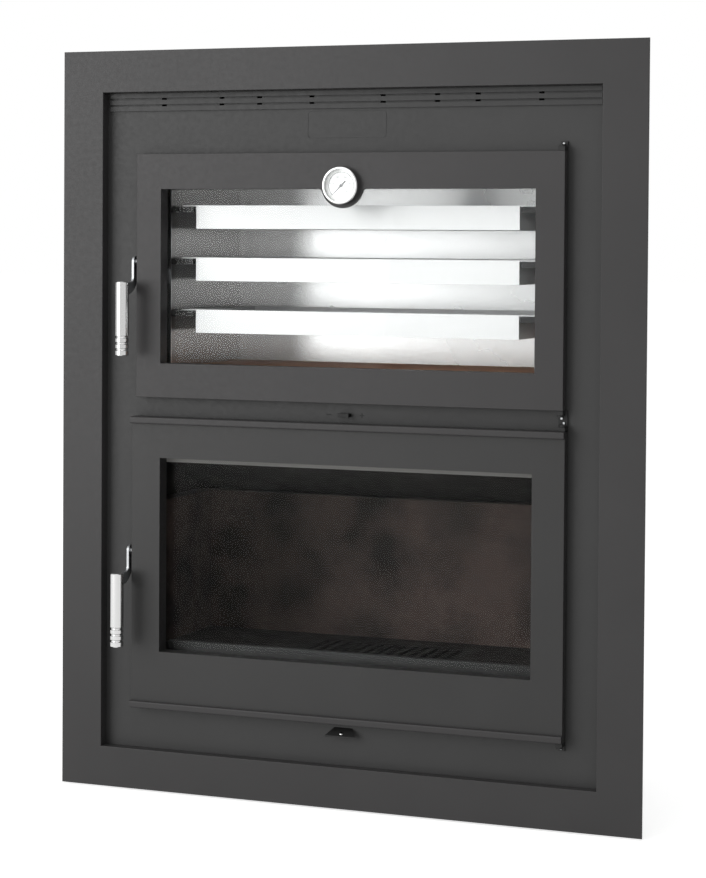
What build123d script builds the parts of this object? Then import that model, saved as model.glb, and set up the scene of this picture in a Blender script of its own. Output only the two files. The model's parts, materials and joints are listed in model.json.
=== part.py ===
from build123d import *
import os

os.makedirs("parts", exist_ok=True)

# Fireplace insert with an oven over the firebox, in millimetres.
# X runs to the right, Z up, and the front faces -Y.
# A depth is counted backwards from the front face of the surround,
# and a height is written from the lower edge of the surround.

# Surround
surround_w = 817
surround_h = 1000
surround_t = 3
side_member = 59.5
top_member = 56
bottom_member = 54.5
return_t = 2
recess = 16.5
edge_lift = 2
bracket_h = 60
bracket_t = 2
bracket_reach = 24
bracket_heights = (150, 800)

# Places of the doors in the surround's opening
oven_left = 51
oven_right = 48
oven_top = 83
oven_door_h = 328.2
fire_left = 45
fire_right = 45
fire_bottom = 57.2
door_space = 26.2
oven_high = surround_h - top_member - oven_top
oven_low = oven_high - oven_door_h
fire_low = bottom_member + fire_bottom
fire_high = oven_low - door_space

# Rails of the doors: left, right, lower and upper
oven_rails = (36, 38, 46.2, 47.5)
fire_rails = (42, 43, 77.5, 55.1)

# Body
body_depth = 340
rear_room = 78
panel_cover = 43.5
panel_w = surround_w - 2 * panel_cover
panel_rim = 24
casing_w = panel_w - 2 * panel_rim
casing_cut = 76
casing_bottom = 46
casing_drop = 48
casing_top_height = surround_h - casing_drop
casing_t = 1.5
panel_t = 4
air_space = 7
shell_w = casing_w - 2 * air_space
shell_t = 4
shell_bottom = 128
shell_drop = 95
shell_top_height = surround_h - shell_drop
shell_cut = 29
lining_cut = 27
base_t = 4
support_w = 40
support_x = 200

# Clearances
seat = 0.3
running = 0.05
door_gap = 1.5
plug_gap = 4

# Louvre
louvre_end = 4
louvre_w = surround_w - 2 * (side_member + louvre_end)
louvre_drop = 80.9
louvre_bottom = surround_h - louvre_drop
bar_h = 6
bar_gap = 2.7
bar_t = 3
outlet_w = 7
outlet_h = 18
outlet_places = (-265, -180, -125, -50, 50, 125, 180, 265)

# Bare plate outlined above the oven door
outline_w = 110.8
outline_h = 36
outline_drop = 102
outline_height = surround_h - outline_drop
outline_r = 5
outline_line = 0.8
outline_depth = 0.4

# Doors
door_face = 0.5
door_edge_r = 0.8
back_chamfer = 2
plug_wall = 4
plug_flange = 14
flange_t = 4
glass_seat = 22
gasket_t = 1
glass_t = 4
pane_lap = 9
gasket_lip = 1
gasket_show = 8
rope_w = 9
rope_depth = 4
rope_room = 0.2
clip_w = 20
clip_t = 2
clip_grip = 5
clip_screw_d = 5
strip_h = 9.3
strip_t = 6
strip_r = 2

# Hinges
hinge_edge = 5
hinge_out = 10
pin_d = 6
pin_in_door = 12
pin_head = 3
pin_rim = 1
pin_bore_spare = 2
lug_t = 5
lug_out = 15.5
leaf_t = 3
leaf_w = 9
leaf_h = 12
screw_d = 3
screw_head = 1.6
screw_drop = 3.2
screw_space = 6

# Handles
grip_d = 18
grip_len = 99
grip_out = 32
oven_grip_up = 57.2
fire_grip_up = 86.3
grip_low_oven = oven_low + oven_grip_up
grip_low_fire = fire_low + fire_grip_up
groove_pitch = 8.3
groove_r = 1.9
groove_out = 0.5
grip_end = 1
grip_cap = 1
lever_t = 3
lever_hip = 2
lever_off = 5
pivot_d = 6
pivot_depth = 6.5
pivot_up = 126
pivot_grip = 16
eye_r = 7
arm_w = 10
arm_low = 7
foot_h = 16
nose_h = 6
nose_gap = 0.7
keeper_w = 8
keeper_h = 6
keeper_t = 2.5

# Thermometer
gauge_up = 4.1
gauge_height = oven_high - oven_rails[3] + gauge_up
gauge_d = 49.5
gauge_wall = 3
gauge_out = 11
bezel_d = 5
bezel_r = 2
tab_r = 29.5
tab_t = 4
tab_fillet = 6
dial_t = 0.8
dial_back = 3
lens_t = 1.2
lens_in = 1.5
needle_len = 17
needle_w = 1.6
needle_t = 0.6
hub_d = 4
stem_d = 8
needle_turn = 225

# Oven
oven_inset = 68.5
oven_half = shell_w / 2 - shell_t - oven_inset
oven_t = 1.5
oven_sill = 10.2
oven_floor = oven_low + oven_sill
oven_headroom = 13.5
oven_ceiling = oven_high - oven_rails[3] + oven_headroom
oven_back = body_depth - rear_room
brick_t = 30
flange_depth = 33
sleeve_t = 2
lip_over_brick = 2
rack_pitch = 70.5
tray_drop = 34.8
tray_top = oven_ceiling - tray_drop
tray_inset = 32.5
tray_half = oven_half - tray_inset
tray_h = 31.5
tray_t = 1.2
rim_inset = 11.5
rim_half = oven_half - rim_inset
tray_front = 43
tray_room = 22
tray_back = oven_back - tray_room
rim_room = 12
rim_back = oven_back - rim_room
runner_h = 8
runner_t = 2
runner_front = 40
runner_room = 7
runner_back = oven_back - runner_room
stop_d = 9

# Firebox
lining_side_t = 25
fire_half = shell_w / 2 - shell_t - lining_side_t
fire_back = body_depth - rear_room
lining_t = 28
lining_front = 34
lining_drop = 161
lining_back_top = oven_floor - lining_drop
course = 18
course_groove = 1.5
hearth_top = 183
tunnel_top = 166
drawer_half = 150
drawer_h = 27
drawer_front = 24
drawer_room = 10
drawer_back = fire_back - drawer_room
drawer_t = 1.5
drawer_gap = 3
pull_w = 60
pull_out = 6
grate_half = 118
grate_front = 88
grate_room = 40
grate_back = fire_back - grate_room
grate_t = 10
grate_lip = 11
grate_slots = 13
grate_slot_w = 8
retainer_depth = 37
retainer_t = 8
retainer_h = 17
retainer_inset = 40
baffle_front = 112
baffle_rise = 70
baffle_t = 20
peg_d = 10
peg_len = 42

# Flue
flue_r = 75
flue_t = 2
flue_behind = 130
flue_depth = body_depth - flue_behind
flue_drop = 7
flue_top = surround_h - flue_drop
flue_gap = 2
flue_stop = 3

# Air controls
knob_up = 10.4
knob_height = fire_high + knob_up
knob_w = 15
knob_h = 5
knob_out = 8
neck_w = 6
neck_h = 3
air_travel = 5
shutter_w = 60
shutter_h = 14
shutter_t = 2
tab_under = 10.2
tab_height = fire_low - tab_under
tab_w = 25
tab_low_w = 43
tab_reach = 10
tab_drop = 9
tab_sheet = 2.5
tab_tail = 46
tab_stop_w = 40
tab_stop = 12
tab_clear = 1

# Feet
foot_inset = 45
pad_d = 44
pad_h = 8
stud_d = 10
nut_w = 17
nut_h = 8

# The whole stands on Z = 0, with its box centred on the Z axis.
proud = grip_out + grip_d / 2
face_y = (proud - body_depth) / 2
panel_back = recess + panel_t
firebox_rear = fire_back + lining_t
shell_depth = firebox_rear + shell_t
door_back = recess - door_gap
hinge_depth = recess - hinge_out
pane_front = glass_seat + gasket_t
pane_back = pane_front + glass_t


def at(height):
    """Z of a height above the lower edge of the surround."""
    return edge_lift + height


def back(depth):
    """Y of a depth behind the face of the surround."""
    return face_y + depth


class Area:
    """Upright rectangle seen from the front, between two X and two heights."""

    def __init__(self, x0, x1, low, high):
        self.x0, self.x1 = x0, x1
        self.z0, self.z1 = at(low), at(high)

    def grow(self, by):
        """The same rectangle with every side moved out."""
        low, high = self.z0 - edge_lift - by, self.z1 - edge_lift + by
        return Area(self.x0 - by, self.x1 + by, low, high)

    def inset(self, left, right, low, high):
        """The same rectangle with each side moved in by its own amount."""
        z0, z1 = self.z0 - edge_lift + low, self.z1 - edge_lift - high
        return Area(self.x0 + left, self.x1 - right, z0, z1)

    def centre(self):
        """Middle of the rectangle."""
        return ((self.x0 + self.x1) / 2, (self.z0 + self.z1) / 2)

    def size(self):
        """Width and height."""
        return (self.x1 - self.x0, self.z1 - self.z0)


def front(depth):
    """Plane that faces the room at a depth."""
    return Plane.XZ.offset(-back(depth))


def slab(area, near, far, mode=Mode.ADD):
    """Block with an area's outline between two depths."""
    with BuildSketch(front(near)) as outline:
        with Locations(area.centre()):
            Rectangle(*area.size())
    extrude(outline.sketch, amount=near - far, mode=mode)


def ring(outer, inner, near, far, mode=Mode.ADD):
    """Rectangular ring between two areas and two depths."""
    with BuildSketch(front(near)) as outline:
        with Locations(outer.centre()):
            Rectangle(*outer.size())
        with Locations(inner.centre()):
            Rectangle(*inner.size(), mode=Mode.SUBTRACT)
    extrude(outline.sketch, amount=near - far, mode=mode)


def block(x0, x1, near, far, z0, z1, mode=Mode.ADD):
    """Block between two X, two depths and two Z."""
    with Locations(((x0 + x1) / 2, back((near + far) / 2), (z0 + z1) / 2)):
        Box(x1 - x0, far - near, z1 - z0, mode=mode)


def disc(x, z, radius, near, far, mode=Mode.ADD):
    """Round bar along Y between two depths."""
    with BuildSketch(front(near)) as outline:
        with Locations((x, z)):
            Circle(radius)
    extrude(outline.sketch, amount=near - far, mode=mode)


def post(x, depth, radius, z0, z1, mode=Mode.ADD):
    """Round bar along Z between two heights."""
    with BuildSketch(Plane.XY.offset(z0)) as outline:
        with Locations((x, back(depth))):
            Circle(radius)
    extrude(outline.sketch, amount=z1 - z0, mode=mode)


def plan(half, near, rear, cut, z0, z1, mode=Mode.ADD):
    """Level plate, its two rear corners cut off at 45 degrees."""
    with BuildSketch(Plane.XY.offset(z0)) as outline:
        with BuildLine():
            Polyline(
                (-half, back(near)),
                (half, back(near)),
                (half, back(rear - cut)),
                (half - cut, back(rear)),
                (cut - half, back(rear)),
                (-half, back(rear - cut)),
                close=True,
            )
        make_face()
    extrude(outline.sketch, amount=z1 - z0, mode=mode)


def side_sheet(side, half, near, rear, cut, sheet, z0, z1):
    """Upright side plate, bent in at 45 degrees to meet the back plate."""
    slant = sheet * 2**0.5
    with BuildSketch(Plane.XY.offset(z0)) as outline:
        with BuildLine():
            Polyline(
                (side * half, back(near)),
                (side * half, back(rear - cut)),
                (side * (half - cut + sheet), back(rear - sheet)),
                (side * (half - cut + sheet - slant), back(rear - sheet)),
                (side * (half - sheet), back(rear - cut + sheet - slant)),
                (side * (half - sheet), back(near)),
                close=True,
            )
        make_face()
    extrude(outline.sketch, amount=z1 - z0)


def save(piece, label):
    """Name a piece and write it."""
    piece.part.label = label
    export_step(piece.part, f"parts/{label}.step")


# Areas that several pieces share
half_w = surround_w / 2
surround = Area(-half_w, half_w, 0, surround_h)
opening = Area(side_member - half_w, half_w - side_member, bottom_member, surround_h - top_member)
panel = Area(-panel_w / 2, panel_w / 2, casing_bottom, casing_top_height)
oven_door = Area(opening.x0 + oven_left, opening.x1 - oven_right, oven_low, oven_high)
oven_window = oven_door.inset(*oven_rails)
fire_door = Area(opening.x0 + fire_left, opening.x1 - fire_right, fire_low, fire_high)
fire_window = fire_door.inset(*fire_rails)
oven_mouth = oven_window.grow(plug_flange + plug_gap)
fire_opening = fire_window.grow(plug_flange + plug_gap)
fire_mouth = Area(fire_opening.x0, fire_opening.x1, shell_bottom + base_t, fire_opening.z1 - edge_lift)
oven_axis = oven_door.x1 - hinge_edge
fire_axis = fire_door.x1 - hinge_edge
shell_x = shell_w / 2
casing_x = casing_w / 2
shell_low = at(shell_bottom)
shell_high = at(shell_top_height)
casing_low = at(casing_bottom)
casing_high = at(casing_top_height)
hearth_low = shell_low + base_t
pivots = ((oven_door, grip_low_oven), (fire_door, grip_low_fire))


def pivot_z(grip_low):
    """Z of a handle's pivot over its grip."""
    return at(grip_low + pivot_up)


# Surround: a flat plate with a lip folded back to the panel
with BuildPart() as surround_frame:
    ring(surround, opening, 0, surround_t)
    ring(opening.grow(return_t), opening, surround_t, recess)
    fillet(surround_frame.faces().sort_by(Axis.Y)[0].edges(), door_edge_r)
save(surround_frame, "surround_frame")

# Angles that hold the surround to the edge of the panel
with BuildPart() as surround_brackets:
    for height in bracket_heights:
        low = at(height)
        for side in (-1, 1):
            for reach, near, far in (
                (bracket_reach, surround_t, surround_t + bracket_t),
                (bracket_t, surround_t + bracket_t, panel_back),
            ):
                ends = sorted((side * panel.x1, side * (panel.x1 + reach)))
                block(*ends, near, far, low, low + bracket_h)
save(surround_brackets, "surround_brackets")

# Front panel with both mouths, the warm air outlets and the air slots
with BuildPart() as front_panel:
    slab(panel, recess, panel_back)
    slab(oven_mouth, recess, panel_back, mode=Mode.SUBTRACT)
    slab(fire_mouth, recess, panel_back, mode=Mode.SUBTRACT)
    outlet_low = louvre_bottom + (3 * bar_h + 2 * bar_gap - outlet_h) / 2
    for x in outlet_places:
        outlet = Area(x - outlet_w / 2, x + outlet_w / 2, outlet_low, outlet_low + outlet_h)
        slab(outlet, recess, panel_back, mode=Mode.SUBTRACT)
    knob_slot = neck_w / 2 + air_travel + seat
    block(
        -knob_slot,
        knob_slot,
        recess,
        panel_back,
        at(knob_height) - neck_h / 2 - seat,
        at(knob_height) + neck_h / 2 + seat,
        mode=Mode.SUBTRACT,
    )
    block(
        -tab_w / 2 - seat,
        tab_w / 2 + seat,
        recess,
        panel_back,
        at(tab_height) - seat,
        at(tab_height) + tab_sheet + seat,
        mode=Mode.SUBTRACT,
    )
    with BuildSketch(front(recess)) as groove:
        with Locations((0, at(outline_height))):
            RectangleRounded(outline_w, outline_h, outline_r)
            RectangleRounded(
                outline_w - 2 * outline_line,
                outline_h - 2 * outline_line,
                outline_r - outline_line,
                mode=Mode.SUBTRACT,
            )
    extrude(groove.sketch, amount=-outline_depth, mode=Mode.SUBTRACT)
save(front_panel, "front_panel")

# Louvre bars over the warm air outlets
with BuildPart() as louvre_bars:
    for row in range(3):
        low = at(louvre_bottom) + row * (bar_h + bar_gap)
        block(-louvre_w / 2, louvre_w / 2, recess - bar_t, recess, low, low + bar_h)
save(louvre_bars, "louvre_bars")

# Casing round the convection space
for side, label in ((-1, "casing_left"), (1, "casing_right")):
    with BuildPart() as casing_side:
        low, high = casing_low + base_t, casing_high - casing_t
        side_sheet(side, casing_x, panel_back, body_depth, casing_cut, casing_t, low, high)
    save(casing_side, label)

with BuildPart() as casing_back:
    rear_x = casing_x - casing_cut
    block(-rear_x, rear_x, body_depth - casing_t, body_depth, casing_low + base_t, casing_high - casing_t)
save(casing_back, "casing_back")

with BuildPart() as casing_top:
    plan(casing_x, panel_back, body_depth, casing_cut, casing_high - casing_t, casing_high)
    post(0, flue_depth, flue_r + flue_t + flue_gap, casing_high - casing_t, casing_high, mode=Mode.SUBTRACT)
save(casing_top, "casing_top")

# Base with two channels that carry the firebox shell
feet = [
    (side * x, depth)
    for side in (-1, 1)
    for x, depth in (
        (casing_x - foot_inset, panel_back + foot_inset),
        (casing_x - casing_cut, body_depth - foot_inset),
    )
]
with BuildPart() as base_plate:
    plan(casing_x, panel_back, body_depth, casing_cut, casing_low, casing_low + base_t)
    for side in (-1, 1):
        middle = side * support_x
        block(
            middle - support_w / 2,
            middle + support_w / 2,
            panel_back,
            shell_depth,
            casing_low + base_t,
            shell_low,
        )
        block(
            middle - support_w / 2 + base_t,
            middle + support_w / 2 - base_t,
            panel_back,
            shell_depth,
            casing_low + base_t,
            shell_low - base_t,
            mode=Mode.SUBTRACT,
        )
    for x, depth in feet:
        post(x, depth, stud_d / 2 + seat, casing_low, casing_low + base_t, mode=Mode.SUBTRACT)
save(base_plate, "base_plate")

# Levelling feet: pad, stud and lock nut
with BuildPart() as levelling_feet:
    for x, depth in feet:
        post(x, depth, pad_d / 2, 0, pad_h)
        post(x, depth, stud_d / 2, pad_h, casing_low + base_t + pad_h)
        with BuildSketch(Plane.XY.offset(casing_low - nut_h)) as nut:
            with Locations((x, back(depth))):
                RegularPolygon(nut_w / 2, 6, major_radius=False)
        extrude(nut.sketch, amount=nut_h)
save(levelling_feet, "levelling_feet")

# Firebox shell in plate
peg_z = at(lining_back_top) + baffle_rise
for side, label in ((-1, "shell_left"), (1, "shell_right")):
    with BuildPart() as shell_side:
        side_sheet(side, shell_x, panel_back, shell_depth, shell_cut, shell_t, hearth_low, shell_high - shell_t)
        with BuildSketch(Plane.YZ.offset(side * (shell_x - shell_t))) as peg:
            with Locations((back(baffle_front + peg_d), peg_z - peg_d / 2)):
                Circle(peg_d / 2)
        extrude(peg.sketch, amount=-side * peg_len)
    save(shell_side, label)

with BuildPart() as shell_back:
    rear_x = shell_x - shell_cut
    block(-rear_x, rear_x, shell_depth - shell_t, shell_depth, hearth_low, shell_high - shell_t)
save(shell_back, "shell_back")

with BuildPart() as shell_top:
    plan(shell_x, panel_back, shell_depth, shell_cut, shell_high - shell_t, shell_high)
    post(0, flue_depth, flue_r - flue_stop, shell_high - shell_t, shell_high, mode=Mode.SUBTRACT)
save(shell_top, "shell_top")

with BuildPart() as shell_base:
    plan(shell_x, panel_back, shell_depth, shell_cut, shell_low, hearth_low)
save(shell_base, "shell_base")

shell_in = shell_x - shell_t

# Flue collar
with BuildPart() as flue_collar:
    post(0, flue_depth, flue_r + flue_t, shell_high, at(flue_top))
    post(0, flue_depth, flue_r, shell_high, at(flue_top), mode=Mode.SUBTRACT)
save(flue_collar, "flue_collar")

# Refractory lining and hearth
for side, label in ((-1, "lining_left"), (1, "lining_right")):
    with BuildPart() as lining_side:
        edges = sorted((side * fire_half, side * shell_in))
        block(*edges, lining_front, fire_back, hearth_low, at(lining_back_top))
    save(lining_side, label)

with BuildPart() as lining_back:
    plan(shell_in, fire_back, firebox_rear, lining_cut, hearth_low, at(lining_back_top))
    block(
        -shell_in,
        shell_in,
        fire_back,
        fire_back + course_groove,
        at(lining_back_top - course) - course_groove,
        at(lining_back_top - course),
        mode=Mode.SUBTRACT,
    )
save(lining_back, "lining_back")

tunnel_half = drawer_half + drawer_gap
with BuildPart() as hearth:
    block(-fire_half, fire_half, lining_front, fire_back, hearth_low, at(hearth_top))
    block(-tunnel_half, tunnel_half, lining_front, fire_back, hearth_low, at(tunnel_top), mode=Mode.SUBTRACT)
    block(
        -grate_half - seat,
        grate_half + seat,
        grate_front - seat,
        grate_back + seat,
        at(hearth_top) - grate_t,
        at(hearth_top),
        mode=Mode.SUBTRACT,
    )
    block(
        grate_lip - grate_half,
        grate_half - grate_lip,
        grate_front + grate_lip,
        grate_back - grate_lip,
        at(tunnel_top),
        at(hearth_top),
        mode=Mode.SUBTRACT,
    )
save(hearth, "hearth")

with BuildPart() as grate:
    block(-grate_half, grate_half, grate_front, grate_back, at(hearth_top) - grate_t, at(hearth_top))
    slot_pitch = 2 * (grate_half - grate_lip) / grate_slots
    with Locations((0, back((grate_front + grate_back) / 2), at(hearth_top) - grate_t / 2)):
        with GridLocations(slot_pitch, 1, grate_slots, 1):
            Box(grate_slot_w, grate_back - grate_front - 2 * grate_lip, grate_t, mode=Mode.SUBTRACT)
save(grate, "grate")

with BuildPart() as log_retainer:
    ends = fire_half - retainer_inset
    block(
        -ends,
        ends,
        retainer_depth,
        retainer_depth + retainer_t,
        at(hearth_top),
        at(hearth_top) + retainer_h,
    )
    fillet(log_retainer.faces().sort_by(Axis.Z)[-1].edges().filter_by(Axis.X), retainer_t / 4)
save(log_retainer, "log_retainer")

# Baffle sloping up from the back lining to two pegs
with BuildPart() as baffle_plate:
    with BuildSketch(Plane.YZ.offset(seat - shell_in)) as slope:
        with BuildLine():
            low_z = at(lining_back_top)
            Polyline(
                (back(baffle_front), peg_z),
                (back(firebox_rear), low_z),
                (back(firebox_rear), low_z + baffle_t),
                (back(baffle_front), peg_z + baffle_t),
                close=True,
            )
        make_face()
    extrude(slope.sketch, amount=2 * (shell_in - seat))
    for side in (-1, 1):
        with BuildSketch(Plane.YZ.offset(side * shell_in)) as relief:
            with Locations((back(baffle_front + peg_d), peg_z - peg_d / 2)):
                Circle(peg_d / 2 + seat)
        extrude(relief.sketch, amount=-side * (peg_len + seat), mode=Mode.SUBTRACT)
    plan(shell_in - seat, 0, firebox_rear, lining_cut, 0, shell_high, mode=Mode.INTERSECT)
save(baffle_plate, "baffle_plate")

# Oven: sleeve and flange behind its mouth, then five sheets
oven = Area(-oven_half, oven_half, oven_floor, oven_ceiling)
brick_top = oven_floor + brick_t
with BuildPart() as oven_sleeve:
    sleeve = oven_mouth.grow(sleeve_t)
    flange = Area(sleeve.x0, sleeve.x1, oven_floor - oven_t, sleeve.z1 - edge_lift)
    inside = Area(-oven_half, oven_half, brick_top - lip_over_brick, oven_ceiling)
    ring(sleeve, oven_mouth, panel_back, flange_depth)
    ring(flange, inside, flange_depth, flange_depth + sleeve_t)
save(oven_sleeve, "oven_sleeve")

oven_front = flange_depth + sleeve_t
for side, label in ((-1, "oven_left"), (1, "oven_right")):
    with BuildPart() as oven_side:
        edges = sorted((side * oven_half, side * (oven_half + oven_t)))
        block(*edges, oven_front, oven_back + oven_t, oven.z0, oven.z1)
    save(oven_side, label)

for low, label in ((oven.z0 - oven_t, "oven_floor"), (oven.z1, "oven_roof")):
    with BuildPart() as oven_sheet:
        block(-oven_half - oven_t, oven_half + oven_t, oven_front, oven_back + oven_t, low, low + oven_t)
    save(oven_sheet, label)

with BuildPart() as oven_rear:
    slab(oven, oven_back, oven_back + oven_t)
save(oven_rear, "oven_back")

with BuildPart() as oven_brick:
    block(seat - oven_half, oven_half - seat, oven_front, oven_back - seat, oven.z0, at(brick_top))
save(oven_brick, "oven_brick")

# Tray levels, from the top down
tray_levels = [at(tray_top - row * rack_pitch) for row in range(3)]
with BuildPart() as tray_runners:
    for level in tray_levels:
        high = level - tray_t - seat
        for side in (-1, 1):
            wall = side * oven_half
            leaf = sorted((wall, side * (tray_half + drawer_gap)))
            web = sorted((wall, wall - side * runner_t))
            block(*leaf, runner_front, runner_back, high - runner_t, high)
            block(*leaf, runner_front, runner_front + runner_t, high - runner_h, high - runner_t)
            block(*web, runner_front, runner_back, high - runner_h, high - runner_t)
            disc(wall - side * stop_d / 2, high - runner_h / 2, stop_d / 2 - seat, flange_depth, runner_front)
save(tray_runners, "tray_runners")

for level, label in zip(tray_levels, ("tray_top", "tray_middle", "tray_bottom")):
    with BuildPart() as tray:
        low = level - tray_h
        block(-tray_half, tray_half, tray_front, tray_back, low, level)
        block(-rim_half, rim_half, tray_front, rim_back, level - tray_t, level)
        block(
            tray_t - tray_half,
            tray_half - tray_t,
            tray_front + tray_t,
            tray_back - tray_t,
            low + tray_t,
            level,
            mode=Mode.SUBTRACT,
        )
    save(tray, label)

# Ash drawer under the hearth
with BuildPart() as ash_drawer:
    low = hearth_low + seat
    high = low + drawer_h
    pull_z = low + drawer_h / 2
    block(-drawer_half, drawer_half, drawer_front, drawer_back, low, high)
    block(
        drawer_t - drawer_half,
        drawer_half - drawer_t,
        drawer_front + drawer_t,
        drawer_back - drawer_t,
        low + drawer_t,
        high,
        mode=Mode.SUBTRACT,
    )
    block(-pull_w / 2, pull_w / 2, drawer_front - pull_out, drawer_front, pull_z, pull_z + drawer_t)
save(ash_drawer, "ash_drawer")


def door_body(builder, door, window, mouth, axis):
    """Door plate with its glass plug, rope groove and hinge bores."""
    slab(door, door_face, door_back)
    hinge_side = builder.edges().filter_by(Axis.Z).group_by(Axis.X)[-1]
    chamfer(hinge_side.sort_by(Axis.Y)[-1], back_chamfer)
    fillet(builder.faces().sort_by(Axis.Y)[0].edges(), door_edge_r)
    slab(window.grow(plug_wall), door_back, glass_seat)
    slab(window.grow(plug_flange), glass_seat - flange_t, glass_seat)
    slab(window, door_face, glass_seat, mode=Mode.SUBTRACT)
    rope = mouth.grow(rope_w / 2)
    half = rope_w / 2 + rope_room
    ring(rope.grow(half), rope.grow(-half), door_back - rope_depth, door_back, mode=Mode.SUBTRACT)
    bore = pin_d / 2 + running
    deep = pin_in_door + pin_bore_spare
    post(axis, hinge_depth, bore, door.z0, door.z0 + deep, mode=Mode.SUBTRACT)
    post(axis, hinge_depth, bore, door.z1 - deep, door.z1, mode=Mode.SUBTRACT)


def handle_bore(door, grip_low):
    """Bore in a door's edge for its handle's pivot."""
    with BuildSketch(Plane.YZ.offset(door.x0)) as hole:
        with Locations((back(pivot_depth), pivot_z(grip_low))):
            Circle(pivot_d / 2 + running)
    extrude(hole.sketch, amount=pivot_grip + seat, mode=Mode.SUBTRACT)


def pane(window, label):
    """Glass behind a window."""
    with BuildPart() as glass:
        slab(window.grow(pane_lap), pane_front, pane_back)
    save(glass, label)


def seals(window, mouth, label, shown=0):
    """Rope round a mouth and flat gasket under the glass, which can show at the top."""
    with BuildPart() as seal:
        rope = mouth.grow(rope_w / 2)
        half = rope_w / 2
        ring(rope.grow(half), rope.grow(-half), door_back - rope_depth, recess - seat)
        ring(window.grow(pane_lap), window.grow(gasket_lip).inset(0, 0, 0, shown), glass_seat, pane_front)
    save(seal, label)


def clips(window, label):
    """Clips that hold a pane to its flange, with their screws."""
    centre_x, centre_z = window.centre()
    width, height = window.size()
    places = [(centre_x, window.z0, 180), (window.x0, centre_z, 270), (window.x1, centre_z, 90)]
    for side in (-1, 1):
        places.append((centre_x + side * width / 3, window.z0, 180))
        places.append((centre_x + side * width / 3, window.z1, 0))
    foot = plug_flange - pane_lap - seat
    with BuildPart() as clip:
        for x, z, turn in places:
            with Locations(Location((x, back(glass_seat), z), (0, turn, 0))):
                with Locations((0, (pane_back - glass_seat) / 2, plug_flange - foot / 2)):
                    Box(clip_w, pane_back - glass_seat, foot)
                with Locations((0, pane_back - glass_seat + clip_t / 2, plug_flange - clip_grip)):
                    Box(clip_w, clip_t, 2 * clip_grip)
                with Locations(Location((0, pane_back - glass_seat + clip_t, plug_flange - foot), (90, 0, 0))):
                    Cylinder(clip_screw_d / 2, screw_head, align=(Align.CENTER, Align.CENTER, Align.MAX))
    save(clip, label)


# Oven door, with a round tab under the thermometer
gauge_z = at(gauge_height)
with BuildPart() as oven_door_frame:
    door_body(oven_door_frame, oven_door, oven_window, oven_mouth, oven_axis)
    with BuildSketch(front(door_face)) as tab:
        with Locations((0, gauge_z)):
            Circle(tab_r)
        with Locations((0, oven_window.z1)):
            Rectangle(3 * tab_r, tab_r, align=(Align.CENTER, Align.MIN))
        meets = [v for v in tab.vertices() if abs(v.Y - oven_window.z1) < running and abs(v.X) < tab_r]
        fillet(meets, tab_fillet)
    extrude(tab.sketch, amount=-tab_t)
    disc(0, gauge_z, stem_d / 2 + running, door_face, door_face + tab_t, mode=Mode.SUBTRACT)
    handle_bore(oven_door, grip_low_oven)
save(oven_door_frame, "oven_door_frame")
pane(oven_window, "oven_door_glass")
seals(oven_window, oven_mouth, "oven_door_seals")
clips(oven_window, "oven_glass_clips")

# Thermometer on the tab
gauge_back = door_face
gauge_front = door_face - gauge_out
case_r = gauge_d / 2 - gauge_wall / 2
inner_r = case_r - gauge_wall / 2
dial_depth = gauge_back - dial_back
lens_depth = gauge_front + lens_in
with BuildPart() as thermometer_case:
    disc(0, gauge_z, case_r, gauge_front, gauge_back)
    disc(0, gauge_z, gauge_d / 2, gauge_front, gauge_front + bezel_d)
    fillet(thermometer_case.faces().sort_by(Axis.Y)[0].edges(), bezel_r)
    disc(0, gauge_z, inner_r, gauge_front, dial_depth, mode=Mode.SUBTRACT)
    disc(0, gauge_z, stem_d / 2, gauge_back, gauge_back + tab_t)
save(thermometer_case, "thermometer_case")

with BuildPart() as thermometer_dial:
    disc(0, gauge_z, inner_r, dial_depth - dial_t, dial_depth)
save(thermometer_dial, "thermometer_dial")

with BuildPart() as thermometer_lens:
    disc(0, gauge_z, inner_r, lens_depth, lens_depth + lens_t)
save(thermometer_lens, "thermometer_lens")

# Needle at rest, its point low on the left
needle_depth = dial_depth - dial_t - seat - needle_t
with BuildPart() as thermometer_needle:
    disc(0, gauge_z, hub_d / 2, needle_depth - needle_t, needle_depth + needle_t)
    along = Vector(1, 0, 0).rotate(Axis.Y, -needle_turn)
    with BuildSketch(Plane((0, back(needle_depth), gauge_z), x_dir=along, z_dir=(0, -1, 0))) as pointer:
        with BuildLine():
            Polyline(
                (needle_len, 0),
                (0, needle_w / 2),
                (-needle_len / 2, needle_w / 2),
                (-needle_len / 2, -needle_w / 2),
                (0, -needle_w / 2),
                close=True,
            )
        make_face()
    extrude(pointer.sketch, amount=-needle_t)
save(thermometer_needle, "thermometer_needle")

# Fire door, with a strip along its top and bottom edge
with BuildPart() as fire_door_frame:
    door_body(fire_door_frame, fire_door, fire_window, fire_mouth, fire_axis)
    handle_bore(fire_door, grip_low_fire)
save(fire_door_frame, "fire_door_frame")

with BuildPart() as fire_door_strips:
    for low in (fire_door.z0, fire_door.z1 - strip_h):
        block(fire_door.x0, fire_door.x1, door_face - strip_t, door_face, low, low + strip_h)
    fillet(fire_door_strips.faces().filter_by(Axis.Y).group_by(Axis.Y)[0].edges().filter_by(Axis.X), strip_r)
save(fire_door_strips, "fire_door_strips")
pane(fire_window, "fire_door_glass")
seals(fire_window, fire_mouth, "fire_door_seals", shown=gasket_show)
clips(fire_window, "fire_glass_clips")


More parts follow.
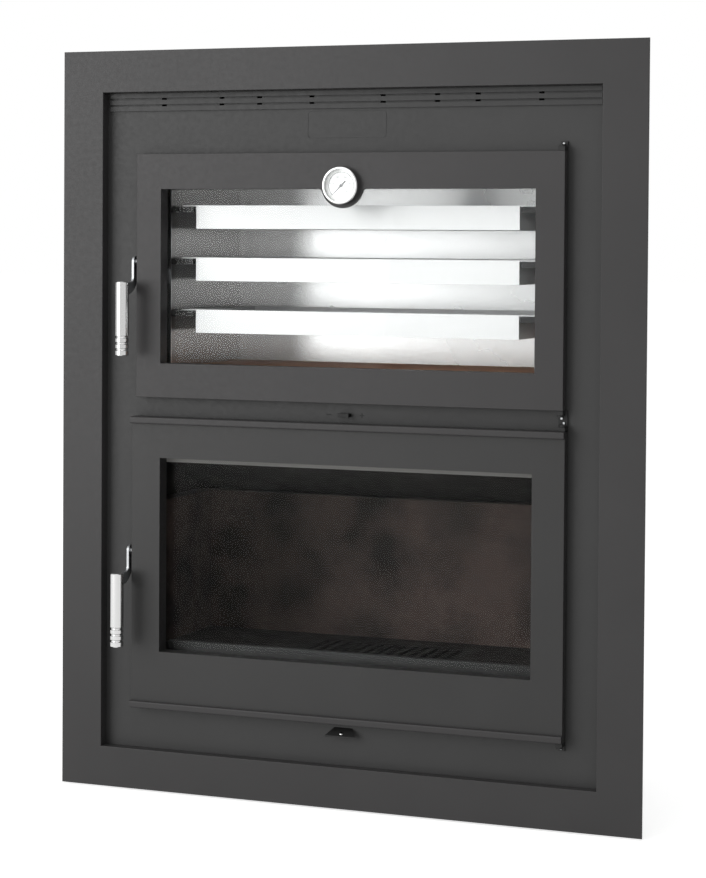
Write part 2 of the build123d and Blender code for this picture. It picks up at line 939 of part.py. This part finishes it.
def lever(door, grip_low, label):
    """Flat lever with its pivot, its hook nose and a foot let into the grip."""
    middle = door.x0 - lever_off
    high = pivot_z(grip_low)
    axle = back(pivot_depth)
    grip_y = back(-grip_out)
    grip_top = at(grip_low + grip_len)
    foot_top = grip_top - grip_cap
    with BuildPart() as piece:
        with BuildSketch(Plane.YZ.offset(middle - lever_t / 2)) as side:
            with Locations((axle, high)):
                Circle(eye_r)
            with BuildLine():
                Line((axle - eye_r, high), (axle - eye_r, foot_top + arm_low))
                JernArc((axle - eye_r, foot_top + arm_low), (0, -1), arm_low, -90)
                Line((axle - eye_r - arm_low, foot_top), (grip_y, foot_top))
                Line((grip_y, foot_top), (grip_y, foot_top - foot_h))
                Line((grip_y, foot_top - foot_h), (axle - 2 * arm_w, foot_top - foot_h))
                ThreePointArc(
                    (axle - 2 * arm_w, foot_top - foot_h),
                    (axle - arm_w / 2, foot_top - foot_h + arm_low),
                    (axle + eye_r - lever_hip, foot_top + arm_low),
                )
                Line((axle + eye_r - lever_hip, foot_top + arm_low), (axle + eye_r, high))
                Line((axle + eye_r, high), (axle - eye_r, high))
            make_face()
            with Locations((axle, high)):
                Rectangle(back(recess - nose_gap) - axle, nose_h, align=(Align.MIN, Align.MAX))
        extrude(side.sketch, amount=lever_t)
        with BuildSketch(Plane.YZ.offset(middle)) as shaft:
            with Locations((axle, high)):
                Circle(pivot_d / 2)
        extrude(shaft.sketch, amount=lever_off + pivot_grip)
    save(piece, label)


def grip(door, grip_low, label):
    """Turned grip with three grooves and a slot for the lever's foot."""
    low = at(grip_low)
    radius = grip_d / 2
    middle = door.x0 - lever_off
    foot_top = low + grip_len - grip_cap
    with BuildPart() as piece:
        post(middle, -grip_out, radius, low, low + grip_len)
        chamfer(piece.edges().filter_by(GeomType.CIRCLE), grip_end)
        for row in range(3):
            with Locations((middle, back(-grip_out), low + (row + 1) * groove_pitch)):
                Torus(radius + groove_out, groove_r, mode=Mode.SUBTRACT)
        block(
            middle - lever_t / 2,
            middle + lever_t / 2,
            -grip_out,
            radius - grip_out,
            foot_top - foot_h,
            foot_top,
            mode=Mode.SUBTRACT,
        )
    save(piece, label)


for (door, grip_low), name in zip(pivots, ("oven", "fire")):
    lever(door, grip_low, f"{name}_handle_lever")
    grip(door, grip_low, f"{name}_handle_grip")

# Keepers over the levers' noses, on the panel
with BuildPart() as latch_keepers:
    for door, grip_low in pivots:
        middle = door.x0 - lever_off
        low = pivot_z(grip_low) + 2 * seat
        block(
            middle - keeper_w / 2,
            middle + keeper_w / 2,
            recess - keeper_t,
            recess,
            low,
            low + keeper_h,
        )
save(latch_keepers, "latch_keepers")

# Hinges: each leaf carries one lug, the middle one two
lug_depth = recess - lug_out
upper_lug = oven_door.z1 + seat
oven_low_lug = oven_door.z0 - seat - lug_t
fire_high_lug = fire_door.z1 + seat
lower_lug = fire_door.z0 - seat - lug_t
hinge_lugs = (
    (oven_axis, upper_lug),
    (oven_axis, oven_low_lug),
    (fire_axis, fire_high_lug),
    (fire_axis, lower_lug),
)
leaves = (
    (oven_axis, oven_axis, upper_lug, upper_lug + leaf_h),
    (oven_axis, fire_axis, fire_high_lug, oven_low_lug + lug_t),
    (fire_axis, fire_axis, lower_lug + lug_t - leaf_h, lower_lug + lug_t),
)
with BuildPart() as hinge_brackets:
    for x0, x1, low, high in leaves:
        block(x0 - leaf_w / 2, x1 + leaf_w / 2, recess - leaf_t, recess, low, high)
    for axis, low in hinge_lugs:
        block(axis - leaf_w / 2, axis + leaf_w / 2, lug_depth, recess, low, low + lug_t)
        post(axis, hinge_depth, pin_d / 2, low, low + lug_t, mode=Mode.SUBTRACT)
save(hinge_brackets, "hinge_brackets")

with BuildPart() as hinge_pins:
    for axis, low, down in zip(
        (oven_axis, oven_axis, fire_axis, fire_axis),
        (upper_lug, oven_low_lug, fire_high_lug, lower_lug),
        (True, False, True, False),
    ):
        if down:
            post(axis, hinge_depth, pin_d / 2, low - seat - pin_in_door, low + lug_t)
            post(axis, hinge_depth, pin_d / 2 + pin_rim, low + lug_t, low + lug_t + pin_head)
        else:
            post(axis, hinge_depth, pin_d / 2, low, low + lug_t + seat + pin_in_door)
            post(axis, hinge_depth, pin_d / 2 + pin_rim, low - pin_head, low)
save(hinge_pins, "hinge_pins")

with BuildPart() as hinge_screws:
    screw_places = (
        (oven_axis, upper_lug + leaf_h - screw_drop),
        (oven_axis, (fire_high_lug + oven_low_lug + lug_t) / 2 + screw_space / 2),
        (fire_axis, (fire_high_lug + oven_low_lug + lug_t) / 2 - screw_space / 2),
        (fire_axis, lower_lug + lug_t - leaf_h + screw_drop),
    )
    for x, z in screw_places:
        disc(x, z, screw_d / 2, recess - leaf_t - screw_head, recess - leaf_t)
save(hinge_screws, "hinge_screws")

# Upper air control: a knob in front of the panel and a shutter behind it
with BuildPart() as secondary_air_slide:
    z = at(knob_height)
    block(
        -knob_w / 2,
        knob_w / 2,
        recess - seat - knob_out,
        recess - seat,
        z - knob_h / 2,
        z + knob_h / 2,
    )
    block(-neck_w / 2, neck_w / 2, recess - seat, panel_back + seat, z - neck_h / 2, z + neck_h / 2)
    block(
        -shutter_w / 2,
        shutter_w / 2,
        panel_back + seat,
        panel_back + seat + shutter_t,
        z - shutter_h / 2,
        z + shutter_h / 2,
    )
save(secondary_air_slide, "secondary_air_slide")

# Lower air control: a tab bent down in front of the panel, with a flat tail behind
with BuildPart() as primary_air_slide:
    low = at(tab_height)
    high = low + tab_sheet
    block(-tab_w / 2, tab_w / 2, recess - tab_clear, tab_tail, low, high)
    block(-tab_stop_w / 2, tab_stop_w / 2, tab_tail - tab_stop, tab_tail, low, high)
    with BuildSketch(front(recess - tab_clear)) as root:
        with Locations((0, (low + high) / 2)):
            Rectangle(tab_w, tab_sheet)
    with BuildSketch(front(recess - tab_clear - tab_reach)) as lip:
        with Locations((0, (low + high) / 2 - tab_drop)):
            Rectangle(tab_low_w, tab_sheet)
    loft([root.sketch.face(), lip.sketch.face()])
save(primary_air_slide, "primary_air_slide")
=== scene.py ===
"""Looks of a fireplace insert with an oven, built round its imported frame. Metres, front towards -Y."""

import json
import math

import bmesh
import bpy
from mathutils import Matrix, Vector


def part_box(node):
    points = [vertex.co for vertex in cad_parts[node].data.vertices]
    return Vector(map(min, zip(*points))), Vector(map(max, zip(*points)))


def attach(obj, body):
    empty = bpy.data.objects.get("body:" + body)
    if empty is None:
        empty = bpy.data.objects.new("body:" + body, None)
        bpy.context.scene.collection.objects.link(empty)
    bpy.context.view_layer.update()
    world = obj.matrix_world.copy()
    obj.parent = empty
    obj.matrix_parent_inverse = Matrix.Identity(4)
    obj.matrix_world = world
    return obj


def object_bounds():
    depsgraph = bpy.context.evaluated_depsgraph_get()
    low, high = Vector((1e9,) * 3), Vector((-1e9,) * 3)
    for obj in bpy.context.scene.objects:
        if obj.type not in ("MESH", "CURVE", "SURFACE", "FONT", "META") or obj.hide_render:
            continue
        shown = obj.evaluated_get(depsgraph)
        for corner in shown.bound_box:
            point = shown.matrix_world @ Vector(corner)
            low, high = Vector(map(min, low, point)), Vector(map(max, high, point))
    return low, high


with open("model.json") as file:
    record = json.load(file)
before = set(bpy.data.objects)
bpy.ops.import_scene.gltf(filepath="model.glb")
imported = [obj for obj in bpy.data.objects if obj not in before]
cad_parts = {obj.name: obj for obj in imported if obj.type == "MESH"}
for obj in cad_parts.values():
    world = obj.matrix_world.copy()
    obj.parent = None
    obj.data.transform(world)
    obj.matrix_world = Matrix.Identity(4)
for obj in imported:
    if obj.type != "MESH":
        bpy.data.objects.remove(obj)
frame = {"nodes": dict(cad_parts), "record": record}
nodes = frame["nodes"]
cad_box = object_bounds()
scene = bpy.context.scene

# Colours, linear
SURROUND = (0.031, 0.0300, 0.0304)
PANEL = (0.032, 0.032, 0.032)
DOOR = (0.031, 0.0296, 0.0302)
# The door paint made darker for the fire door: painted shade on the lower door
DOOR_SHADED = (0.025, 0.0247, 0.0246)
BLACK = (0.012, 0.012, 0.012)
SHELL = (0.016, 0.015, 0.014)
ZINC = (0.42, 0.43, 0.44)
STEEL = (0.84, 0.84, 0.84)
TRAY = (0.56, 0.56, 0.56)
WALL = (0.46, 0.45, 0.445)
POLISHED = (0.58, 0.58, 0.58)
CAST = (0.013, 0.0125, 0.012)
BOARD = (0.052, 0.037, 0.032)
# The hearth board, much darker than the lining board
HEARTH_DARK = (0.014, 0.012, 0.011)
SOOT = (0.007, 0.006, 0.006)
CLAY = (0.62, 0.37, 0.24)
CLAY_DARK = (0.46, 0.26, 0.16)
ROPE = (0.34, 0.335, 0.32)
# Painted shade in the grooves of the glass rope
ROPE_GROOVE_SHADE = (0.10, 0.10, 0.10)
ENAMEL = (0.86, 0.86, 0.85)
INK = (0.2, 0.2, 0.205)
GLASS = (0.97, 0.98, 0.98)
WHITE = (1, 1, 1)
FLOOR = (0.80, 0.80, 0.79)
FLOOR_PALE = (0.83, 0.83, 0.82)

# Grain of the materials, in metres, and how much glass bends light
CLOUD_SIZE = 0.11
PEEL_SIZE = 0.0011
PEEL_DEPTH = 0.00003
BRUSH_SIZE = 0.0009
BRUSH_DEPTH = 0.000008
SPANGLE_SIZE = 0.009
ZINC_DEPTH = 0.00002
SOOT_SIZE = 0.09
SAND_SIZE = 0.0016
BURN_SIZE = 0.06
CLAY_DEPTH = 0.0002
STRAND_SIZE = 0.0028
STRAND_SLANT = 0.6
ROPE_DEPTH = 0.0004
FLOOR_GRAIN = 0.5
GLASS_IOR = 1.12

# Brushing drawn out along one axis
ALONG_X = (0.02, 1, 1)
ALONG_Z = (1, 1, 0.02)

# Camera: its place with Y from the surround's face, angles in degrees, lens and sensor in millimetres
CAMERA_PLACE = (1.145, -2.8881, 0.7484)
CAMERA_TURN = 21.345
CAMERA_LEVEL = -1.6117
CAMERA_LEAN = 0.3796
CAMERA_LENS = 97.676
CAMERA_SHIFT = -0.15
SENSOR = 36

# Lamps, each with its place, side and power; the world and the floor
KEY = ((-2.9, -3.6, 1.5), 3.4, 118)
TOP = ((0.4, -1.6, 3.4), 2.0, 20)
WORLD_LIGHT = 0.5
WORLD_SHOWN = 1.0
FLOOR_SIZE = 80
FLOOR_GLOW = 0.62

# Thermometer scale: full turn of the scale, its start, and radii on the dial
SCALE_TURN = 270
SCALE_START = 225
SCALE_STEPS = 50
SCALE_SIDES = 72
NUMBER_EVERY = 10
DEGREES_PER_STEP = 10
SCALE_R = 0.0178
SCALE_LINE = 0.00022
TICKS = ((10, 0.0030), (5, 0.0021), (1, 0.0012))
NUMBER_R = 0.0118
NUMBER_SIZE = 0.0034
PRINT_T = 0.0001

# Marks at the upper air control, and the rivet on the lower one
MARK_REACH = 0.0235
MARK_W = 0.0062
MARK_LINE = 0.0016
MARK_T = 0.0003
RIVET_R = 0.0026
RIVET_RISE = 0.0012
RIVET_BACK = 0.0034
TAB_SLOPE = (0, -0.67, 0.74)
TAB_ROOT = 0.001
TAB_LIP = 0.22


class Finish:
    """A material that takes its colour, roughness and relief from places on the object."""

    def __init__(self, name, roughness=0.5, metallic=0.0, specular=0.5):
        self.material = bpy.data.materials.new(name)
        self.material.use_nodes = True
        self.tree = self.material.node_tree
        self.shader = self.tree.nodes["Principled BSDF"]
        self.shader.inputs["Roughness"].default_value = roughness
        self.shader.inputs["Metallic"].default_value = metallic
        self.shader.inputs["Specular IOR Level"].default_value = specular
        self.place = self.add("ShaderNodeTexCoord").outputs["Object"]
        self.normal = None

    def add(self, kind, **settings):
        """A new node with its settings."""
        node = self.tree.nodes.new(kind)
        for key, value in settings.items():
            setattr(node, key, value)
        return node

    def link(self, source, target):
        """Join two sockets."""
        self.tree.links.new(source, target)

    def scaled(self, factors):
        """Coordinates with each axis multiplied."""
        node = self.add("ShaderNodeVectorMath", operation="MULTIPLY")
        node.inputs[1].default_value = factors
        self.link(self.place, node.inputs[0])
        return node.outputs[0]

    def noise(self, size, detail=2.0, factors=(1, 1, 1)):
        """Soft noise with a grain of this size."""
        node = self.add("ShaderNodeTexNoise")
        node.inputs["Scale"].default_value = 1 / size
        node.inputs["Detail"].default_value = detail
        self.link(self.scaled(factors), node.inputs["Vector"])
        return node.outputs["Fac"]

    def spread(self, value, low, high, start=0.3, end=0.7):
        """A value mapped to low..high."""
        node = self.add("ShaderNodeMapRange")
        for key, number in (("From Min", start), ("From Max", end), ("To Min", low), ("To Max", high)):
            node.inputs[key].default_value = number
        self.link(value, node.inputs["Value"])
        return node.outputs["Result"]

    def blend(self, value, first, second):
        """A colour between two, each given as numbers or as a socket."""
        node = self.add("ShaderNodeMix", data_type="RGBA")
        self.link(value, node.inputs["Factor"])
        for socket, colour in ((node.inputs[6], first), (node.inputs[7], second)):
            if isinstance(colour, tuple):
                socket.default_value = (*colour, 1)
            else:
                self.link(colour, socket)
        return node.outputs[2]

    def colour(self, source):
        """Take the base colour from a socket."""
        self.link(source, self.shader.inputs["Base Color"])

    def rough(self, source):
        """Take the roughness from a socket."""
        self.link(source, self.shader.inputs["Roughness"])

    def bump(self, height, distance):
        """Relief of this depth, laid over any relief before it."""
        node = self.add("ShaderNodeBump")
        node.inputs["Strength"].default_value = 1.0
        node.inputs["Distance"].default_value = distance
        self.link(height, node.inputs["Height"])
        if self.normal:
            self.link(self.normal, node.inputs["Normal"])
        self.normal = node.outputs["Normal"]
        self.link(self.normal, self.shader.inputs["Normal"])


def shade(colour, factor):
    """A colour made darker or lighter."""
    return tuple(part * factor for part in colour)


def paint(name, colour, roughness=0.4, cloud=0.07):
    """Heat-proof paint: a fine orange peel over faint clouds."""
    f = Finish(name, specular=0.32)
    clouds = f.spread(f.noise(CLOUD_SIZE, 4), 0, 1)
    f.colour(f.blend(clouds, shade(colour, 1 - cloud), shade(colour, 1 + cloud)))
    f.rough(f.spread(f.noise(0.006, 4), roughness - 0.05, roughness + 0.06))
    f.bump(f.noise(PEEL_SIZE, 3), PEEL_DEPTH)
    return f.material


def brushed(name, colour, roughness, factors, cloud=0.05, metallic=1.0):
    """Brushed metal, its lines drawn out along one axis. Less metallic is satin."""
    f = Finish(name, metallic=metallic)
    lines = f.noise(BRUSH_SIZE, 3, factors)
    f.colour(f.blend(f.spread(lines, 0, 1), shade(colour, 1 - cloud), colour))
    f.rough(f.spread(f.noise(0.08, 3), roughness - 0.015, roughness + 0.02))
    f.bump(lines, BRUSH_DEPTH)
    return f.material


def galvanised(name):
    """Zinc sheet with its spangle."""
    f = Finish(name, metallic=0.9)
    cells = f.add("ShaderNodeTexVoronoi")
    cells.inputs["Scale"].default_value = 1 / SPANGLE_SIZE
    f.link(f.place, cells.inputs["Vector"])
    grey = f.add("ShaderNodeSeparateColor")
    f.link(cells.outputs["Color"], grey.inputs[0])
    f.colour(f.blend(grey.outputs[0], shade(ZINC, 0.88), shade(ZINC, 1.05)))
    f.rough(f.spread(grey.outputs[1], 0.38, 0.48, 0, 1))
    f.bump(f.noise(0.004, 3), ZINC_DEPTH)
    return f.material


def sooted(name, colour, grain, depth):
    """Fired board or casting under patches of soot."""
    f = Finish(name, specular=0.2)
    body = f.blend(f.spread(f.noise(grain, 5), 0, 1), shade(colour, 0.75), shade(colour, 1.2))
    f.colour(f.blend(f.spread(f.noise(SOOT_SIZE, 5), 0, 0.85, 0.42, 0.66), body, SOOT))
    f.rough(f.spread(f.noise(0.02, 3), 0.7, 0.92))
    f.bump(f.noise(grain * 2, 5), depth)
    return f.material


def clay(name):
    """Fired clay slab with fine sand and a few darker burns."""
    f = Finish(name, specular=0.25)
    sand = f.blend(f.spread(f.noise(SAND_SIZE, 4), 0, 1), shade(CLAY, 0.8), shade(CLAY, 1.15))
    f.colour(f.blend(f.spread(f.noise(BURN_SIZE, 5), 0, 0.7, 0.45, 0.72), sand, CLAY_DARK))
    f.rough(f.spread(f.noise(0.01, 3), 0.68, 0.86))
    f.bump(f.noise(0.0022, 5), CLAY_DEPTH)
    return f.material


def woven(name):
    """Glass rope: strands laid slantwise along each run, with painted shade in the grooves between them.
    """
    f = Finish(name, specular=0.2)
    waves = []
    for way in ((1, STRAND_SLANT, 1), (1, -STRAND_SLANT, -1)):
        direction = f.add("ShaderNodeVectorMath", operation="DOT_PRODUCT")
        direction.inputs[1].default_value = way
        f.link(f.place, direction.inputs[0])
        turn = f.add("ShaderNodeMath", operation="MULTIPLY")
        turn.inputs[1].default_value = math.tau / STRAND_SIZE
        f.link(direction.outputs["Value"], turn.inputs[0])
        wave = f.add("ShaderNodeMath", operation="SINE")
        f.link(turn.outputs[0], wave.inputs[0])
        waves.append(wave.outputs[0])
    strand = f.add("ShaderNodeMath", operation="MAXIMUM")
    f.link(waves[0], strand.inputs[0])
    f.link(waves[1], strand.inputs[1])
    height = f.spread(strand.outputs[0], 0, 1, -1, 1)
    # Painted shade: the rope's colour darkens into the grooves between strands
    f.colour(f.blend(height, ROPE_GROOVE_SHADE, ROPE))
    f.rough(f.spread(f.noise(0.004, 3), 0.8, 0.95))
    f.bump(height, ROPE_DEPTH)
    return f.material


def enamel(name, colour, roughness=0.3):
    """Smooth printed or enamelled surface with a trace of unevenness."""
    f = Finish(name)
    f.colour(f.blend(f.spread(f.noise(0.012, 3), 0, 1), shade(colour, 0.96), colour))
    f.rough(f.spread(f.noise(0.005, 2), roughness - 0.04, roughness + 0.04))
    return f.material


def clear_glass(name):
    """Glass that lets the lamps through to what is behind it."""
    f = Finish(name, roughness=0.0)
    f.shader.inputs["Base Color"].default_value = (*GLASS, 1)
    f.shader.inputs["Transmission Weight"].default_value = 1.0
    f.shader.inputs["IOR"].default_value = GLASS_IOR
    through = f.add("ShaderNodeBsdfTransparent")
    through.inputs["Color"].default_value = (*GLASS, 1)
    rays = f.add("ShaderNodeLightPath")
    mix = f.add("ShaderNodeMixShader")
    f.link(rays.outputs["Is Shadow Ray"], mix.inputs[0])
    f.link(f.shader.outputs[0], mix.inputs[1])
    f.link(through.outputs[0], mix.inputs[2])
    f.link(mix.outputs[0], f.tree.nodes["Material Output"].inputs["Surface"])
    return f.material


finishes = {
    "surround_paint": paint("surround_paint", SURROUND),
    "panel_paint": paint("panel_paint", PANEL, roughness=0.46),
    "door_paint": paint("door_paint", DOOR),
    # The fire door takes the door paint darkened as painted shade
    "fire_door_shaded_paint": paint("fire_door_shaded_paint", DOOR_SHADED),
    "black_paint": paint("black_paint", BLACK, roughness=0.55),
    "shell_steel": sooted("shell_steel", SHELL, 0.004, 0.00008),
    "cast_iron": sooted("cast_iron", CAST, 0.003, 0.0003),
    "refractory": sooted("refractory", BOARD, 0.006, 0.0003),
    "hearth_board": sooted("hearth_board", HEARTH_DARK, 0.006, 0.0003),
    "oven_stone": clay("oven_stone"),
    "galvanised": galvanised("galvanised"),
    "stainless": brushed("stainless", STEEL, 0.26, ALONG_X),
    "stainless_bright": brushed("stainless_bright", STEEL, 0.26, ALONG_X, 0.02, 0.8),
    "stainless_tray": brushed("stainless_tray", TRAY, 0.5, ALONG_X, 0.02, 0.35),
    "stainless_upright": brushed("stainless_upright", WALL, 0.2, ALONG_Z),
    # The runners' black is partly their enamel and partly painted shade beneath the tray rims
    "runner_enamel": paint("runner_enamel", BLACK, roughness=0.4),
    "polished_steel": brushed("polished_steel", POLISHED, 0.14, ALONG_Z, cloud=0.02),
    "zinc": brushed("zinc", ZINC, 0.4, ALONG_X),
    "ceramic_glass": clear_glass("ceramic_glass"),
    "glass_rope": woven("glass_rope"),
    "dial_white": enamel("dial_white", ENAMEL),
    "needle_black": enamel("needle_black", INK),
}
special = {
    "fire_door_frame": "fire_door_shaded_paint",
    "hearth": "hearth_board",
    "oven_left": "stainless_upright",
    "oven_right": "stainless_upright",
    "oven_back": "stainless_bright",
    "tray_top": "stainless_tray",
    "tray_middle": "stainless_tray",
    "tray_bottom": "stainless_tray",
}

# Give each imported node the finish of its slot
for part in frame["record"]["subparts"]:
    name = special.get(part["node"], part["material_slot"])
    for slot in nodes[part["node"]].material_slots:
        slot.material = finishes[name]


def piece(name, mesh, body, finish):
    """Make an object of a mesh, with its body and its finish."""
    data = bpy.data.meshes.new(name)
    bmesh.ops.recalc_face_normals(mesh, faces=mesh.faces)
    mesh.to_mesh(data)
    mesh.free()
    data.materials.append(finishes[finish])
    made = bpy.data.objects.new(name, data)
    scene.collection.objects.link(made)
    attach(made, body)
    return made


def prism(mesh, corners, near, far):
    """Add a flat shape with these X and Z corners, between two Y."""
    front = [mesh.verts.new((x, near, z)) for x, z in corners]
    rear = [mesh.verts.new((x, far, z)) for x, z in corners]
    mesh.faces.new(front)
    mesh.faces.new(list(reversed(rear)))
    for i in range(len(corners)):
        j = (i + 1) % len(corners)
        mesh.faces.new((front[j], front[i], rear[i], rear[j]))


def round_points(centre, radius, start, end, steps):
    """Points on an arc, its angles in degrees from +X towards +Z."""
    x, z = centre
    turns = [math.radians(start + (end - start) * i / steps) for i in range(steps + 1)]
    return [(x + radius * math.cos(a), z + radius * math.sin(a)) for a in turns]


# Printed scale and numbers on the thermometer's dial
dial_low, dial_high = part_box("thermometer_dial")
dial = ((dial_low.x + dial_high.x) / 2, (dial_low.z + dial_high.z) / 2)
printed = (dial_low.y - PRINT_T, dial_low.y + PRINT_T)
scale = bmesh.new()
outer = round_points(dial, SCALE_R, SCALE_START, SCALE_START - SCALE_TURN, SCALE_SIDES)
inner = round_points(dial, SCALE_R - 2 * SCALE_LINE, SCALE_START - SCALE_TURN, SCALE_START, SCALE_SIDES)
prism(scale, outer + inner, *printed)
for step in range(SCALE_STEPS + 1):
    length = next(size for every, size in TICKS if step % every == 0)
    angle = math.radians(SCALE_START - SCALE_TURN * step / SCALE_STEPS)
    out = Vector((math.cos(angle), math.sin(angle)))
    side = Vector((-out.y, out.x)) * SCALE_LINE
    far, near = out * (SCALE_R - SCALE_LINE), out * (SCALE_R - length)
    corners = [Vector(dial) + v for v in (near - side, far - side, far + side, near + side)]
    prism(scale, [tuple(c) for c in corners], *printed)
piece("dial_scale", scale, "oven_door", "needle_black")

numbers = bmesh.new()
for step in range(0, SCALE_STEPS + 1, NUMBER_EVERY):
    text = bpy.data.curves.new("number", "FONT")
    text.body = str(step * DEGREES_PER_STEP)
    text.size = NUMBER_SIZE
    text.align_x = "CENTER"
    text.align_y = "CENTER"
    text.extrude = PRINT_T
    holder = bpy.data.objects.new("number", text)
    angle = math.radians(SCALE_START - SCALE_TURN * step / SCALE_STEPS)
    spot = Vector((dial[0] + NUMBER_R * math.cos(angle), dial_low.y, dial[1] + NUMBER_R * math.sin(angle)))
    drawn = bpy.data.meshes.new_from_object(holder)
    drawn.transform(Matrix.Translation(spot) @ Matrix.Rotation(math.radians(90), 4, "X"))
    numbers.from_mesh(drawn)
    bpy.data.objects.remove(holder)
    bpy.data.curves.remove(text)
    bpy.data.meshes.remove(drawn)
piece("dial_numbers", numbers, "oven_door", "needle_black")

# Minus and plus at the upper air control
panel_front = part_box("front_panel")[0].y
knob_low, knob_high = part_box("secondary_air_slide")
knob_z = (knob_low.z + knob_high.z) / 2
half, line = MARK_W / 2, MARK_LINE / 2
marks = bmesh.new()
for x, crossed in ((-MARK_REACH, False), (MARK_REACH, True)):
    bars = [(half, knob_z - line, knob_z + line)]
    if crossed:
        bars += [(line, knob_z - half, knob_z - line), (line, knob_z + line, knob_z + half)]
    for reach, low, high in bars:
        corners = [(x - reach, low), (x + reach, low), (x + reach, high), (x - reach, high)]
        prism(marks, corners, panel_front - MARK_T, panel_front + MARK_T)
piece("control_marks", marks, "insert", "black_paint")

# Rivet on the slope of the lower air tab
tab_low, tab_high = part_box("primary_air_slide")
slope = Vector(TAB_SLOPE).normalized()
root_y, root_z = panel_front - TAB_ROOT, tab_high.z
lip_top = tab_low.z + (tab_high.z - tab_low.z) * TAB_LIP
rise = RIVET_BACK * (root_z - lip_top) / (root_y - tab_low.y)
spot = Vector((0, tab_low.y + RIVET_BACK, lip_top + rise))
dome = bmesh.new()
bmesh.ops.create_uvsphere(dome, u_segments=24, v_segments=12, radius=RIVET_R)
flat = Matrix.Diagonal((1, 1, RIVET_RISE / RIVET_R, 1))
turned = slope.to_track_quat("Z", "Y").to_matrix().to_4x4()
bmesh.ops.transform(dome, matrix=Matrix.Translation(spot) @ turned @ flat, verts=dome.verts)
rivet = piece("tab_rivet", dome, "lower_air_control", "polished_steel")
rivet.data.shade_smooth()


# Floor, world and lamps
def seen(tree):
    """1 for rays that show the background: camera, glossy and transmitted."""
    rays = tree.nodes.new("ShaderNodeLightPath")
    value = rays.outputs["Is Camera Ray"]
    for name in ("Is Glossy Ray", "Is Transmission Ray"):
        both = tree.nodes.new("ShaderNodeMath")
        both.operation = "MAXIMUM"
        tree.links.new(value, both.inputs[0])
        tree.links.new(rays.outputs[name], both.inputs[1])
        value = both.outputs[0]
    return value


def strength(tree, hidden, shown):
    """A strength for unseen rays and another for those that show the background."""
    choose = tree.nodes.new("ShaderNodeMapRange")
    choose.inputs["To Min"].default_value = hidden
    choose.inputs["To Max"].default_value = shown
    tree.links.new(seen(tree), choose.inputs["Value"])
    return choose.outputs["Result"]


world = bpy.data.worlds.new("studio")
scene.world = world
world.use_nodes = True
sky = world.node_tree.nodes["Background"]
sky.inputs["Color"].default_value = (*WHITE, 1)
glow = strength(world.node_tree, WORLD_LIGHT, WORLD_SHOWN)
world.node_tree.links.new(glow, sky.inputs["Strength"])

bpy.ops.mesh.primitive_plane_add(size=FLOOR_SIZE)
floor = bpy.context.object
floor.name = "floor"
pale = Finish("pale_floor", roughness=0.9, specular=0.0)
pale.colour(pale.blend(pale.noise(FLOOR_GRAIN, 2), FLOOR, FLOOR_PALE))
pale.shader.inputs["Emission Color"].default_value = (*WHITE, 1)
pale.link(strength(pale.tree, 0.0, FLOOR_GLOW), pale.shader.inputs["Emission Strength"])
floor.data.materials.append(pale.material)


def lamp(name, target, place, size, power):
    """A soft square lamp turned to a target."""
    data = bpy.data.lights.new(name, "AREA")
    data.size = size
    data.energy = power
    made = bpy.data.objects.new(name, data)
    made.location = place
    made.rotation_euler = (Vector(target) - Vector(place)).to_track_quat("-Z", "Y").to_euler()
    scene.collection.objects.link(made)


middle = (cad_box[0] + cad_box[1]) / 2
lamp("key", middle, *KEY)
lamp("top", middle, *TOP)

# Camera
eye = bpy.data.cameras.new("camera")
eye.lens = CAMERA_LENS
eye.sensor_width = SENSOR
eye.shift_y = CAMERA_SHIFT
camera = bpy.data.objects.new("camera", eye)
turn = Matrix.Rotation(math.radians(CAMERA_TURN), 4, "Z")
tilt = Matrix.Rotation(math.radians(90 + CAMERA_LEVEL), 4, "X")
lean = Matrix.Rotation(math.radians(CAMERA_LEAN), 4, "Z")
face_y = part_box("surround_frame")[0].y
place = Vector(CAMERA_PLACE) + Vector((0, face_y, 0))
camera.matrix_world = Matrix.Translation(place) @ turn @ tilt @ lean
scene.collection.objects.link(camera)
scene.camera = camera

scene.view_settings.view_transform = "Standard"
